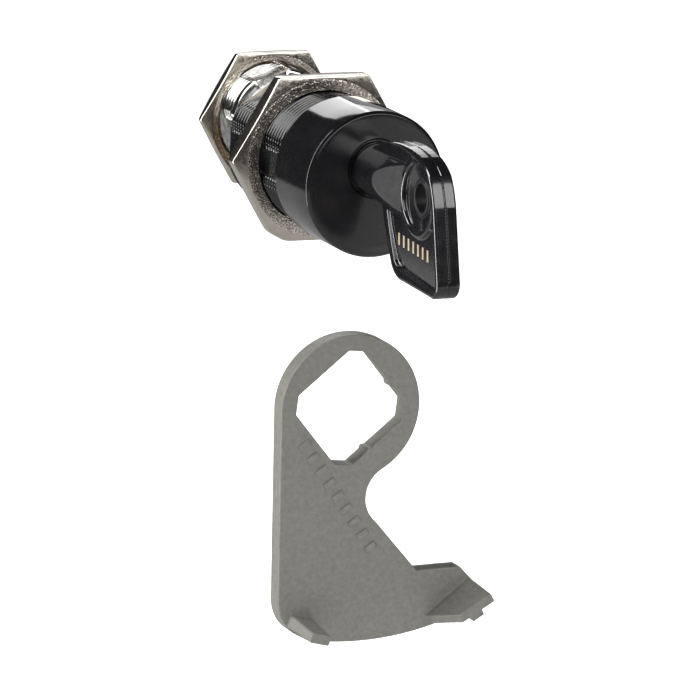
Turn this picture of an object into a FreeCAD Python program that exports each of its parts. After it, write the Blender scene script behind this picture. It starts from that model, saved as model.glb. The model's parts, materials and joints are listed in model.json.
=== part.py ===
"""Key-operated lock cylinder for an electrical enclosure, with its loose locking lever.

Millimetres, +Z up. The origin is on the axis of the threaded barrel, in the plane of the shoulder that seats on
the panel. The head and the key point along -Y, the thread and the tail along +Y.
"""
import FreeCAD, Part
import math
import os

Vec = FreeCAD.Vector

# ---------------------------------------------------------------- driving dimensions
# Barrel: smooth head in front of the panel, M22 x 1 thread behind it
HEAD_R = 11.85
HEAD_LENGTH = 13.6
HEAD_CHAMFER = 0.5
THREAD_R = 11.0
THREAD_LENGTH = 23.5
FLAT_OFFSET = 10.25          # two flats that key the barrel in a double-D panel cut-out
REAR_FLAT_TURN = 122.5       # narrow third flat at the rear end, from +X towards +Z
REAR_FLAT_OFFSET = 10.08
REAR_FLAT_START = 13.0
FRONT_WALL = 2.0
BORE_R = 9.2
SEAL_R = 6.2
SEAL_POCKET = 0.8

# The rotor turns on an axis above the barrel's own axis, which leaves room for the pins below it
ROTOR_Z = 2.6
ROTOR_R = 5.8
NOSE_R = 4.7
NOSE_RECESS = 0.1
ROTOR_END = 18.4
RUNNING = 0.06               # radial running clearance of turning parts
FIXED = 0.02                 # radial gap between parts that are assembled and stay put

# Tail: M18 x 1 thread with four flats that drive the lever
TAIL_R = 8.9
TAIL_FLATS = 16.0
TAIL_FLAT_TURN = 15.0
TAIL_START = 26.4
TAIL_END = 34.8
NECK_R = 5.2
SCREW_R = 1.5
SCREW_TIP = 14.4
SCREW_HEAD_R = 2.75
SCREW_SEAT = 28.0

# Hexagon nuts
FRONT_NUT_FLATS = 27.0
FRONT_NUT_START = 8.3
FRONT_NUT_THICKNESS = 3.3
REAR_NUT_FLATS = 21.8
REAR_NUT_START = 30.4
REAR_NUT_THICKNESS = 2.0
NUT_BORE_GAP = 0.05
NUT_CHAMFER_TURN = 14.0      # slope of the corner chamfers against the nut's faces

# Pin tumblers, one row below the rotor
PIN_COUNT = 5
PIN_FIRST_Y = -7.0
PIN_PITCH = 3.5
PIN_R = 1.2
PIN_GAP = 0.08
SHEAR_GAP = 0.2              # pin ends stop this far from the rotor's surface
DRIVER_LENGTH = 2.6
SPRING_WIRE_R = 0.17
SPRING_TURNS = 5

# Key: steel blade moulded into a plastic bow
BLADE_THICKNESS = 1.9
BLADE_TOP = 3.7              # above the rotor axis
BLADE_TIP_Y = 13.0
BLADE_EDGE_FRONT = 3.6       # depth of the coded edge below the rotor axis, at the head's face
BLADE_RAMP = 0.05            # rise of the coded edge per millimetre towards the tip
KEYWAY_WIDTH = 2.2
KEYWAY_HALF_HEIGHT = 4.0
KEYWAY_END = 13.8
BOW_THICKNESS = 4.0
BOW_NECK_R = 4.4
BOW_NECK_GAP = 0.15
BOW_NECK_LENGTH = 15.9
FACET_START = 7.9            # the neck's two side facets: where they begin, in front of the head's face,
FACET_SLOPE = 0.30           # and how fast each comes in towards the plate
KEY_RING_HOLE_R = 2.2
KEY_RING_AT = (20.7, -0.6)   # distance in front of the head's face, height above the rotor axis
DISH_R = 4.5
RECESS_DEPTH = 0.6

# Locking lever: hangs loose below and behind the lock
LEVER_THICKNESS = 3.6
LEVER_FRONT_Y = TAIL_END + 0.5
LEVER_HOLE_AT = (18.1, -49.0)
EYE_R = 12.7
LEVER_HOLE_FLATS = 16.2
LEVER_HOLE_CORNERS = 19.6
LEVER_HOLE_TURN = 39.0
LEVER_PIN_LENGTH = 8.0
HOOK_LENGTH = 7.0

FACE_Y = -HEAD_LENGTH
BORE_START = FACE_Y + FRONT_WALL
BUSH_START = THREAD_LENGTH - 2.5
STOP_PIN_Y = 15.6
STOP_PIN_R = 0.8
STOP_PIN_REACH = 7.2         # distance of the pin's outer end from the rotor axis
STOP_GROOVE_R = 7.45
STATOR_PIN_Y = 18.6

os.makedirs("parts", exist_ok=True)


# ---------------------------------------------------------------- helpers
def rod(radius, start, end, x=0.0, z=0.0):
    """Cylinder along Y from start to end."""
    return Part.makeCylinder(radius, end - start, Vec(x, start, z), Vec(0, 1, 0))


def rotor_rod(radius, start, end):
    return rod(radius, start, end, 0.0, ROTOR_Z)


def box(x0, x1, y0, y1, z0, z1):
    return Part.makeBox(x1 - x0, y1 - y0, z1 - z0, Vec(x0, y0, z0))


def revolved(profile, z=0.0):
    """Solid of revolution about the Y direction at height z, from (y, radius) corners."""
    points = [Vec(radius, y, 0) for y, radius in profile]
    face = Part.Face(Part.makePolygon(points + points[:1]))
    solid = face.revolve(Vec(0, 0, 0), Vec(0, 1, 0), 360)
    solid.translate(Vec(0, 0, z))
    return solid


def prism_y(points, start, end):
    """Prism along Y over a closed outline of (x, z) corners."""
    corners = [Vec(x, start, z) for x, z in points]
    return Part.Face(Part.makePolygon(corners + corners[:1])).extrude(Vec(0, end - start, 0))


def polygon_by_flats(flats_and_turns):
    """Corners of the convex outline whose sides lie at the given (distance, angle in degrees)."""
    corners = []
    count = len(flats_and_turns)
    for i in range(count):
        d1, a1 = flats_and_turns[i]
        d2, a2 = flats_and_turns[(i + 1) % count]
        t1, t2 = math.radians(a1), math.radians(a2)
        det = math.sin(t2 - t1)
        x = (d1 * math.sin(t2) - d2 * math.sin(t1)) / det
        z = (d2 * math.cos(t1) - d1 * math.cos(t2)) / det
        corners.append((x, z))
    return corners


def save(name, shape):
    solids = shape.Solids
    assert solids and all(s.isValid() for s in solids), name
    result = solids[0] if len(solids) == 1 else Part.makeCompound(solids)
    result.exportStep("parts/%s.step" % name)
    print("%-18s solids %d  volume %8.2f" % (name, len(solids), shape.Volume))


# ---------------------------------------------------------------- housing
def barrel_housing():
    """Smooth head and threaded barrel, bored from behind, with an eccentric opening for the rotor's nose."""
    shell = revolved([
        (FACE_Y, 0), (FACE_Y, HEAD_R - HEAD_CHAMFER), (FACE_Y + HEAD_CHAMFER, HEAD_R), (0, HEAD_R),
        (0, THREAD_R), (THREAD_LENGTH - 0.6, THREAD_R), (THREAD_LENGTH, THREAD_R - 0.6), (THREAD_LENGTH, 0)])
    for side in (-1, 1):
        near, far = sorted((side * FLAT_OFFSET, side * (HEAD_R + 1)))
        shell = shell.cut(box(near, far, 0, THREAD_LENGTH + 1, -HEAD_R, HEAD_R))
    rear_flat = box(REAR_FLAT_OFFSET, HEAD_R, REAR_FLAT_START, THREAD_LENGTH + 1, -HEAD_R, HEAD_R)
    rear_flat.rotate(Vec(0, 0, 0), Vec(0, 1, 0), -REAR_FLAT_TURN)
    shell = shell.cut(rear_flat)
    shell = shell.cut(rod(BORE_R, BORE_START, THREAD_LENGTH + 1))
    shell = shell.cut(rotor_rod(NOSE_R + RUNNING, FACE_Y - 1, BORE_START + 1))
    shell = shell.cut(rotor_rod(SEAL_R, BORE_START - SEAL_POCKET, BORE_START + 0.5))
    return shell.cut(stator_pin_shape(0.0))


def face_seal_ring():
    """Seal in the pocket behind the front wall, round the rotor's nose."""
    start = BORE_START - SEAL_POCKET + 0.05
    ring = rotor_rod(SEAL_R - 0.05, start, BORE_START - 0.05)
    return ring.cut(rotor_rod(NOSE_R + RUNNING, start - 1, BORE_START + 1))


def stator_pin_shape(gap):
    """Radial roll pin through the right-hand flat that keeps the stator from turning."""
    return Part.makeCylinder(0.75 + gap, 3.0, Vec(FLAT_OFFSET - 0.1, STATOR_PIN_Y, 0), Vec(-1, 0, 0))


def stator_body():
    """Fixed core with the eccentric rotor bore, the pin chambers and the groove of the stop pin."""
    core = rod(BORE_R - FIXED, BORE_START + 0.05, BUSH_START - 0.05)
    core = core.cut(rotor_rod(ROTOR_R + RUNNING, BORE_START - 1, BUSH_START + 1))
    for y in pin_places():
        core = core.cut(Part.makeCylinder(PIN_R + PIN_GAP, BORE_R + ROTOR_Z, Vec(0, y, ROTOR_Z), Vec(0, 0, -1)))
    groove = Part.makeCylinder(STOP_GROOVE_R, 2 * STOP_PIN_R + 0.4, Vec(0, STOP_PIN_Y - STOP_PIN_R - 0.2, ROTOR_Z),
                               Vec(0, 1, 0))
    quadrant = box(-BORE_R - 1, STOP_PIN_R + 0.15, 0, BUSH_START, -BORE_R - 1, ROTOR_Z + STOP_PIN_R + 0.15)
    return core.cut(groove.common(quadrant)).cut(stator_pin_shape(0.0))


def rear_bush():
    """Ring screwed into the rear of the barrel; it carries the spindle's neck."""
    ring = rod(BORE_R - FIXED, BUSH_START, THREAD_LENGTH)
    ring = ring.cut(rotor_rod(NECK_R + RUNNING, BUSH_START - 1, THREAD_LENGTH + 1))
    for side in (-1, 1):
        slot = box(side * 7.6 - 0.7, side * 7.6 + 0.7, THREAD_LENGTH - 1.0, THREAD_LENGTH + 1, -2.2, -0.8)
        ring = ring.cut(slot)
    return ring


def pin_places():
    return [PIN_FIRST_Y + i * PIN_PITCH for i in range(PIN_COUNT)]


def driver_pin(y):
    """Lower pin of a pair, waiting just outside the rotor's surface."""
    top = ROTOR_Z - ROTOR_R - RUNNING
    pin = Part.makeCylinder(PIN_R, DRIVER_LENGTH, Vec(0, y, top), Vec(0, 0, -1))
    waist = Part.makeCylinder(PIN_R + 1, 0.8, Vec(0, y, top - 0.9), Vec(0, 0, -1))
    waist = waist.cut(Part.makeCylinder(PIN_R - 0.25, 0.8, Vec(0, y, top - 0.9), Vec(0, 0, -1)))
    return pin.cut(waist)


def pin_spring(y):
    """Coil spring between a driver pin and the wall of the barrel's bore."""
    low = -BORE_R + SPRING_WIRE_R + 0.02
    high = ROTOR_Z - ROTOR_R - RUNNING - DRIVER_LENGTH - SPRING_WIRE_R - 0.02
    coil_r = PIN_R - SPRING_WIRE_R - 0.05
    helix = Part.makeHelix((high - low) / SPRING_TURNS, high - low, coil_r)
    corners = []
    for i in range(8):
        turn = math.radians(22.5 + 45 * i)
        corners.append(Vec(coil_r + SPRING_WIRE_R * math.cos(turn), 0, SPRING_WIRE_R * math.sin(turn)))
    section = Part.makePolygon(corners + corners[:1])
    spring = Part.Wire(helix).makePipeShell([section], True, True)
    spring.translate(Vec(0, y, low))
    return spring


# ---------------------------------------------------------------- rotor
def coded_edge_z(y):
    """Height of the blade's coded edge, which rises in a straight ramp towards the tip."""
    return ROTOR_Z - BLADE_EDGE_FRONT + BLADE_RAMP * (y - FACE_Y)


def rotor_plug():
    """Turning plug with the keyway, the holes of the key pins and the slot that drives the spindle."""
    plug = rotor_rod(NOSE_R, FACE_Y + NOSE_RECESS, BORE_START + 0.3)
    plug = plug.fuse(rotor_rod(ROTOR_R, BORE_START + 0.2, ROTOR_END)).removeSplitter()
    keyway = box(-KEYWAY_WIDTH / 2, KEYWAY_WIDTH / 2, FACE_Y - 1, KEYWAY_END,
                 ROTOR_Z - KEYWAY_HALF_HEIGHT, ROTOR_Z + KEYWAY_HALF_HEIGHT)
    plug = plug.cut(keyway)
    for y in pin_places():
        plug = plug.cut(Part.makeCylinder(PIN_R + PIN_GAP, ROTOR_R, Vec(0, y, ROTOR_Z - 0.6), Vec(0, 0, -1)))
    plug = plug.cut(stop_pin_shape())
    plug = plug.cut(box(-1.55, 1.55, ROTOR_END - 1.5, ROTOR_END + 1, ROTOR_Z - 5.1, ROTOR_Z + 5.1))
    return plug.cut(rotor_rod(SCREW_R, SCREW_TIP, ROTOR_END + 1))


def stop_pin_shape():
    """Radial pin in the rotor that runs in the stator's groove and stops the turn at both ends."""
    length = STOP_PIN_REACH - 4.3
    return Part.makeCylinder(STOP_PIN_R, length, Vec(0, STOP_PIN_Y, ROTOR_Z - 4.3), Vec(0, 0, -1))


def key_pin(y):
    """Upper pin of a pair: its domed end rests on the coded edge, its foot is flush with the rotor."""
    top = coded_edge_z(y - PIN_R) - 0.03
    foot = ROTOR_Z - ROTOR_R + SHEAR_GAP
    height = top - foot
    body = Part.makeCylinder(PIN_R, height - 0.4, Vec(0, y, foot), Vec(0, 0, 1))
    cone = Part.makeCone(PIN_R, PIN_R - 0.4, 0.4, Vec(0, y, foot + height - 0.4), Vec(0, 0, 1))
    return body.fuse(cone).removeSplitter()


def tail_spindle():
    """Neck through the rear bush, shoulder, and the threaded tail with four driving flats."""
    neck = rotor_rod(NECK_R, ROTOR_END + 0.05, TAIL_START)
    tongue = box(-1.5, 1.5, ROTOR_END - 1.4, ROTOR_END + 0.5, ROTOR_Z - 5.0, ROTOR_Z + 5.0)
    tongue = tongue.common(rotor_rod(NECK_R, ROTOR_END - 2, ROTOR_END + 1))
    tail = revolved([
        (TAIL_START, 0), (TAIL_START, TAIL_R - 0.5), (TAIL_START + 0.5, TAIL_R),
        (TAIL_END - 0.6, TAIL_R), (TAIL_END, TAIL_R - 0.6), (TAIL_END, 0)], ROTOR_Z)
    sides = [(TAIL_FLATS / 2, TAIL_FLAT_TURN + 90 * i) for i in range(4)]
    square = prism_y(polygon_by_flats(sides), TAIL_START - 1, TAIL_END + 1)
    square.translate(Vec(0, 0, ROTOR_Z))
    spindle = neck.fuse(tongue).fuse(tail.common(square)).removeSplitter()
    spindle = spindle.cut(rotor_rod(SCREW_R, ROTOR_END - 3, TAIL_END + 1))
    return spindle.cut(rotor_rod(SCREW_HEAD_R + 0.2, SCREW_SEAT, TAIL_END + 1))


def tail_screw():
    """Socket-head screw that clamps the spindle to the rotor."""
    screw = rotor_rod(SCREW_R - FIXED, SCREW_TIP + 0.1, SCREW_SEAT + 0.5)
    screw = screw.fuse(rotor_rod(SCREW_HEAD_R, SCREW_SEAT + 0.02, SCREW_SEAT + 3.0)).removeSplitter()
    sides = [(1.25, 60 * i) for i in range(6)]
    socket = prism_y(polygon_by_flats(sides), SCREW_SEAT + 1.4, SCREW_SEAT + 4)
    socket.translate(Vec(0, 0, ROTOR_Z))
    return screw.cut(socket)


def thrust_washer():
    start = THREAD_LENGTH + 0.1
    washer = rotor_rod(7.6, start, TAIL_START - 1.6)
    return washer.cut(rotor_rod(NECK_R + FIXED, start - 1, TAIL_START))


def retaining_collar():
    start = TAIL_START - 1.55
    collar = rotor_rod(7.0, start, TAIL_START - 0.02)
    return collar.cut(rotor_rod(NECK_R + FIXED, start - 1, TAIL_START))


# ---------------------------------------------------------------- nuts
def hexagon_nut(flats, thickness, start, bore_r, bore_chamfer, z=0.0):
    """Hexagon nut with chamfered corners on both faces and a countersunk bore, flats above and below."""
    corner_r = flats / math.sqrt(3)
    washer_r = flats / 2 * 0.975
    drop = (corner_r + 0.05 - washer_r) * math.tan(math.radians(NUT_CHAMFER_TURN))
    sides = [(flats / 2, 30 + 60 * i) for i in range(6)]
    body = prism_y(polygon_by_flats(sides), 0, thickness)
    envelope = revolved([(0, 0), (0, washer_r), (drop, corner_r + 0.05), (thickness - drop, corner_r + 0.05),
                         (thickness, washer_r), (thickness, 0)])
    body = body.common(envelope)
    body = body.cut(rod(bore_r, -1, thickness + 1))
    mouth = bore_r + bore_chamfer
    body = body.cut(revolved([(-0.01, 0), (-0.01, mouth), (bore_chamfer, bore_r), (bore_chamfer, 0)]))
    body = body.cut(revolved([(thickness + 0.01, 0), (thickness + 0.01, mouth),
                              (thickness - bore_chamfer, bore_r), (thickness - bore_chamfer, 0)]))
    body.translate(Vec(0, start, z))
    return body


# ---------------------------------------------------------------- key
def key_blade():
    """Flat steel blade; its lower edge is the coded ramp that carries the pins."""
    tang_y = FACE_Y - 12.0
    points = [
        (tang_y, ROTOR_Z - 3.0), (FACE_Y - 2.0, ROTOR_Z - 3.0), (FACE_Y - 2.0, coded_edge_z(FACE_Y - 2.0)),
        (BLADE_TIP_Y - 1.4, coded_edge_z(BLADE_TIP_Y - 1.4)), (BLADE_TIP_Y, ROTOR_Z),
        (BLADE_TIP_Y - 2.5, ROTOR_Z + BLADE_TOP), (FACE_Y - 2.0, ROTOR_Z + BLADE_TOP),
        (FACE_Y - 2.0, ROTOR_Z + 3.0), (tang_y, ROTOR_Z + 3.0)]
    half = BLADE_THICKNESS / 2
    corners = [Vec(-half, y, z) for y, z in points]
    blade = Part.Face(Part.makePolygon(corners + corners[:1])).extrude(Vec(BLADE_THICKNESS, 0, 0))
    for side in (-1, 1):
        groove = box(side * half - 0.3, side * half + 0.3, FACE_Y - 1.8, BLADE_TIP_Y + 1,
                     ROTOR_Z + 0.6, ROTOR_Z + 1.5)
        blade = blade.cut(groove)
    return blade


def bow_point(out, up, x):
    """Point of the bow at a distance in front of the head's face and a height above the rotor axis."""
    return Vec(x, FACE_Y - out, ROTOR_Z + up)


def bow_outline(x):
    """Closed outline of the flag-shaped bow: arched top, leaning outer edge, rounded lower corners."""
    def line(a, b):
        return Part.LineSegment(bow_point(*a, x), bow_point(*b, x)).toShape()

    def arc(a, b, c):
        return Part.Arc(bow_point(*a, x), bow_point(*b, x), bow_point(*c, x)).toShape()

    edges = [
        arc((2.6, 4.3), (12.0, 6.6), (20.8, 5.9)),
        arc((20.8, 5.9), (24.6, 4.9), (26.2, 2.0)),
        line((26.2, 2.0), (29.8, -12.2)),
        arc((29.8, -12.2), (29.5, -14.2), (27.6, -15.2)),
        line((27.6, -15.2), (16.0, -14.9)),
        arc((16.0, -14.9), (13.2, -14.5), (11.4, -13.2)),
        arc((11.4, -13.2), (9.1, -9.2), (6.9, -4.3)),
        line((6.9, -4.3), (2.6, -4.3)),
        line((2.6, -4.3), (2.6, 4.3))]
    return Part.Wire(edges)


def recess_outline(x):
    """Panel sunk into each side of the bow below the dish, with an even rim round it."""
    corners = [(15.0, -5.8), (26.6, -5.8), (28.4, -12.8), (27.4, -13.8), (15.8, -13.5), (13.3, -12.5), (11.1, -8.0)]
    points = [bow_point(out, up, x) for out, up in corners]
    return Part.makePolygon(points + points[:1])


def key_bow():
    """Plastic bow: round neck that flattens into a plate, dished round the key-ring hole on both sides."""
    half = BOW_THICKNESS / 2
    plate = Part.Face(bow_outline(-half)).extrude(Vec(BOW_THICKNESS, 0, 0))
    neck_start = FACE_Y - BOW_NECK_GAP
    neck = Part.makeCylinder(BOW_NECK_R, BOW_NECK_LENGTH, Vec(0, neck_start, ROTOR_Z), Vec(0, -1, 0))
    wide, narrow = BOW_NECK_R + 0.6, half - 0.2
    wide_y, narrow_y = (FACE_Y - FACET_START - (BOW_NECK_R - w) / FACET_SLOPE for w in (wide, narrow))
    below = -9
    wedge_corners = [Vec(-wide, neck_start + 1, below), Vec(wide, neck_start + 1, below),
                     Vec(wide, wide_y, below), Vec(narrow, narrow_y, below), Vec(-narrow, narrow_y, below),
                     Vec(-wide, wide_y, below)]
    wedge = Part.Face(Part.makePolygon(wedge_corners + wedge_corners[:1])).extrude(Vec(0, 0, 20))
    cut_back = plate.cut(box(-half, half, FACE_Y - 3.0, FACE_Y, -30, 30))
    bow = cut_back.fuse(neck.common(wedge))
    out, up = KEY_RING_AT
    centre = bow_point(out, up, 0)
    bow = bow.cut(Part.makeCylinder(KEY_RING_HOLE_R, BOW_THICKNESS + 2, centre - Vec(half + 1, 0, 0), Vec(1, 0, 0)))
    for side in (-1, 1):
        floor_x = side * (half - RECESS_DEPTH)
        pocket = Part.Face(recess_outline(floor_x)).extrude(Vec(side * 2, 0, 0))
        dish = Part.makeCylinder(DISH_R, 2, Vec(floor_x, centre.y, centre.z), Vec(side, 0, 0))
        dish = dish.cut(Part.makeCylinder(KEY_RING_HOLE_R + 0.9, 2, Vec(floor_x, centre.y, centre.z), Vec(side, 0, 0)))
        bow = bow.cut(pocket).cut(dish)
    return bow.removeSplitter().cut(key_blade())


# ---------------------------------------------------------------- locking lever
def lever_place(shape):
    shape.translate(Vec(LEVER_HOLE_AT[0], LEVER_FRONT_Y, LEVER_HOLE_AT[1]))
    return shape


def lever_outline():
    """Closed outline, from the centre of the hole: round eye, straight left side, arm to the lower right."""
    def at(x, z):
        return Vec(x, 0, z)

    def line(a, b):
        return Part.LineSegment(at(*a), at(*b)).toShape()

    def arc(a, b, c):
        return Part.Arc(at(*a), at(*b), at(*c)).toShape()

    eye_end = (EYE_R * math.cos(math.radians(-60)), EYE_R * math.sin(math.radians(-60)))
    eye_left = (-EYE_R, 0.0)
    return Part.Wire([
        arc(eye_left, (EYE_R * math.cos(math.radians(60)), EYE_R * math.sin(math.radians(60))), eye_end),
        arc(eye_end, (3.4, -15.4), (5.4, -20.2)),
        line((5.4, -20.2), (13.3, -29.3)),
        line((13.3, -29.3), (21.4, -29.2)),
        line((21.4, -29.2), (24.8, -32.8)),
        line((24.8, -32.8), (17.9, -38.9)),
        arc((17.9, -38.9), (4.0, -41.1), (-6.6, -40.3)),
        line((-6.6, -40.3), (-8.2, -39.4)),
        arc((-8.2, -39.4), (-11.3, -36.6), (-12.2, -33.2)),
        line((-12.2, -33.2), eye_left)])


def lever_hole(start, end):
    """Square hole with cut corners that drops over the four flats of the tail."""
    sides = []
    for i in range(4):
        sides.append((LEVER_HOLE_FLATS / 2, LEVER_HOLE_TURN + 90 * i))
        sides.append((LEVER_HOLE_CORNERS / 2, LEVER_HOLE_TURN + 45 + 90 * i))
    return prism_y(polygon_by_flats(sides), start, end)


def crush_rib(side, along):
    """Small half-round rib on one flat of the hole that takes up the play on the tail."""
    turn = math.radians(LEVER_HOLE_TURN + 90 * side)
    distance = LEVER_HOLE_FLATS / 2 + 0.25
    x = distance * math.cos(turn) - along * math.sin(turn)
    z = distance * math.sin(turn) + along * math.cos(turn)
    return rod(0.55, 0.3, LEVER_THICKNESS - 0.3, x, z)


def lever_hook():
    """Tapered catch that stands out of the arm's end towards the front, with a small nub on its tip."""
    base = [(14.8, -37.6), (23.0, -31.1), (24.5, -32.8), (16.6, -39.1)]
    tip = [(18.4, -35.8), (24.2, -32.4), (25.0, -33.8), (19.2, -37.2)]
    wires = []
    for outline, y in ((base, 0.2), (tip, -HOOK_LENGTH)):
        points = [Vec(x, y, z) for x, z in outline]
        wires.append(Part.makePolygon(points + points[:1]))
    catch = Part.makeLoft(wires, True, True)
    nub = prism_y([(20.6, -36.2), (22.6, -35.0), (23.2, -36.0), (21.2, -37.2)], -HOOK_LENGTH, 0.2)
    return catch.fuse(nub)


def lever_pin():
    """Oblong follower pin near the lower left corner, pointing to the front and slightly tapered."""
    wires = []
    for y, half_long, half_short in ((0.2, 2.3, 1.0), (-LEVER_PIN_LENGTH, 1.9, 0.75)):
        turn = math.radians(-20)
        centre = Vec(-7.9, y, -37.2)
        along = Vec(math.cos(turn), 0, math.sin(turn))
        across = Vec(-math.sin(turn), 0, math.cos(turn))
        run = along * (half_long - half_short)
        reach = along * half_long
        rise = across * half_short
        wires.append(Part.Wire([
            Part.LineSegment(centre - run + rise, centre + run + rise).toShape(),
            Part.Arc(centre + run + rise, centre + reach, centre + run - rise).toShape(),
            Part.LineSegment(centre + run - rise, centre - run - rise).toShape(),
            Part.Arc(centre - run - rise, centre - reach, centre - run + rise).toShape()]))
    return Part.makeLoft(wires, True, True)


def locking_lever():
    plate = Part.Face(lever_outline()).extrude(Vec(0, LEVER_THICKNESS, 0))
    lever = plate.cut(lever_hole(-1, LEVER_THICKNESS + 1))
    lever = lever.cut(box(14.0, 21.0, 1.2, 2.6, -32.2, -28.0))
    for side, along in ((0, 2.6), (3, 2.8)):
        lever = lever.fuse(crush_rib(side, along))
    lever = lever.fuse(lever_hook()).fuse(lever_pin()).removeSplitter()
    return lever_place(lever)


# ---------------------------------------------------------------- all nodes
save("barrel_housing", barrel_housing())
save("face_seal_ring", face_seal_ring())
save("stator_body", stator_body())
save("stator_pin", stator_pin_shape(-FIXED))
save("rear_bush", rear_bush())
for number, place in enumerate(pin_places(), start=1):
    save("driver_pin_%d" % number, driver_pin(place))
    save("pin_spring_%d" % number, pin_spring(place))
    save("key_pin_%d" % number, key_pin(place))
save("rotor_plug", rotor_plug())
save("rotor_stop_pin", stop_pin_shape())
save("tail_spindle", tail_spindle())
save("tail_screw", tail_screw())
save("thrust_washer", thrust_washer())
save("retaining_collar", retaining_collar())
save("front_nut", hexagon_nut(FRONT_NUT_FLATS, FRONT_NUT_THICKNESS, FRONT_NUT_START,
                              THREAD_R + NUT_BORE_GAP, 0.5))
save("rear_nut", hexagon_nut(REAR_NUT_FLATS, REAR_NUT_THICKNESS, REAR_NUT_START,
                             TAIL_R + NUT_BORE_GAP, 0.45, ROTOR_Z))
save("key_blade", key_blade())
save("key_bow", key_bow())
save("locking_lever", locking_lever())
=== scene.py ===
"""Looks of the key-operated lock cylinder and its loose locking lever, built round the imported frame.

Metres, in the frame's own axes: the lock's axis is Y, the key points along -Y, Z is up.
"""
import json
import math
import bpy
import bmesh
import numpy as np
import openvdb
from mathutils import Matrix, Vector


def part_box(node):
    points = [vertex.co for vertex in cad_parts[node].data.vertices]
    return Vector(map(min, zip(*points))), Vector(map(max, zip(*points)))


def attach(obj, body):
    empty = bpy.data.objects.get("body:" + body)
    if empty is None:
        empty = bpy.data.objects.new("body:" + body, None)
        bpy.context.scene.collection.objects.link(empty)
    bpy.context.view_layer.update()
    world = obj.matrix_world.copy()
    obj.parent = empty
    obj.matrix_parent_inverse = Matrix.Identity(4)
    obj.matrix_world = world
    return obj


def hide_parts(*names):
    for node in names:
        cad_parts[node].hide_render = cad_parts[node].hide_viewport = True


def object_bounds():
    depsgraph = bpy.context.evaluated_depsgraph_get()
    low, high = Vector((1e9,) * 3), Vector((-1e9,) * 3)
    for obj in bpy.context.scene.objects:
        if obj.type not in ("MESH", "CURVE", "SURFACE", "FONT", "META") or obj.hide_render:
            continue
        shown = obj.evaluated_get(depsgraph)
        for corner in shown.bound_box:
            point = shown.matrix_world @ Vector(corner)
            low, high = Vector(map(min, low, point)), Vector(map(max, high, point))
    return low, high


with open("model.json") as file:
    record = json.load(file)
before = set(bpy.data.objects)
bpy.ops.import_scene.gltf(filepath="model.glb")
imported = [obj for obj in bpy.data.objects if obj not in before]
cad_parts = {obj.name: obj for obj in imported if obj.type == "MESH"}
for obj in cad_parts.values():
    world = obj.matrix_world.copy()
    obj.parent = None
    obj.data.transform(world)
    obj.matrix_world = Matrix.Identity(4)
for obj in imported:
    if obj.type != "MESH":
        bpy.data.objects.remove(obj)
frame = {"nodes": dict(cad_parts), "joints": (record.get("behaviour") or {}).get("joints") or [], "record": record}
cad_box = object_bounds()

MM = 0.001
JOINTS = {joint["name"]: joint for joint in frame["joints"]}
OPENINGS = {opening["name"]: opening for opening in frame["record"]["physics"]["openings"]}

# ---------------------------------------------------------------- sizes, from the frame where it gives them
BARREL_LOW, BARREL_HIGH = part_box("barrel_housing")
FACE_Y = BARREL_LOW.y
BARREL_END = BARREL_HIGH.y
HEAD_R = BARREL_HIGH.x
THREAD_R = 11.0 * MM
FLAT_OFFSET = 10.25 * MM
THREAD_DEPTH = 0.58 * MM
THREAD_PITCH = 1.0 * MM
THREAD_RUN_OUT = 0.5 * THREAD_PITCH
THREAD_START = 0.35 * MM     # undercut behind the head
CREST_SHARE = 0.1            # share of the half pitch that is flat at the crest, and again at the root
RINGS_PER_PITCH = 12
ROTOR_Z = JOINTS["key_turn"]["pos_m"][2]
BORE_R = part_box("rear_bush")[1].x + 0.02 * MM
NOSE_HOLE_R = 4.76 * MM
FRONT_WALL = 2.0 * MM

TAIL_R = 8.9 * MM
TAIL_HALF_FLATS = 8.0 * MM
TAIL_FLAT_TURN = 15.0
TAIL_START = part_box("retaining_collar")[1].y + 0.02 * MM
TAIL_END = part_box("tail_spindle")[1].y
NECK_R = 5.2 * MM
SCREW_BORE_R = 2.95 * MM
REAR_FLAT_TURN = 122.5
REAR_FLAT_OFFSET = 10.08 * MM
REAR_FLAT_START = 13.0 * MM

RING_COUNT = 288             # points round each turned or threaded surface
NUT_CHAMFER_DEGREES = 14
NUT_ANNULUS_SHARE = 0.965    # radius where the nut's corner chamfers begin, as a share of its inner circle
NUT_EDGE = 0.16 * MM
ANNULUS_BANDS = 4


# ---------------------------------------------------------------- mesh helpers
def mesh_object(name, vertices, faces, sharp_angle=None):
    """Closed, smooth-shaded object; edges sharper than the angle keep a crease."""
    mesh = bpy.data.meshes.new(name)
    mesh.from_pydata(np.asarray(vertices).tolist(), [], faces)
    work = bmesh.new()
    work.from_mesh(mesh)
    bmesh.ops.recalc_face_normals(work, faces=work.faces)
    work.to_mesh(mesh)
    work.free()
    mesh.polygons.foreach_set("use_smooth", [True] * len(mesh.polygons))
    if sharp_angle is not None:
        mesh.set_sharp_from_angle(angle=math.radians(sharp_angle))
    obj = bpy.data.objects.new(name, mesh)
    bpy.context.scene.collection.objects.link(obj)
    return obj


def skin(name, rings, sharp_angle=32.0):
    """Closed surface through a loop of rings with equal point counts; the last ring joins the first."""
    count = len(rings[0])
    total = len(rings)
    faces = []
    for i in range(total):
        near, far = i * count, ((i + 1) % total) * count
        for j in range(count):
            k = (j + 1) % count
            faces.append((near + j, near + k, far + k, far + j))
    return mesh_object(name, np.concatenate(rings), faces, sharp_angle)


def turns():
    return np.linspace(0, 2 * np.pi, RING_COUNT, endpoint=False)


def ring(y, radius, z=0.0):
    """Ring of points round the Y direction; the radius may be one number or one per point."""
    angle = turns()
    radius = np.broadcast_to(radius, angle.shape)
    return np.stack([radius * np.cos(angle), np.full_like(angle, y), z + radius * np.sin(angle)], axis=1)


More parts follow.
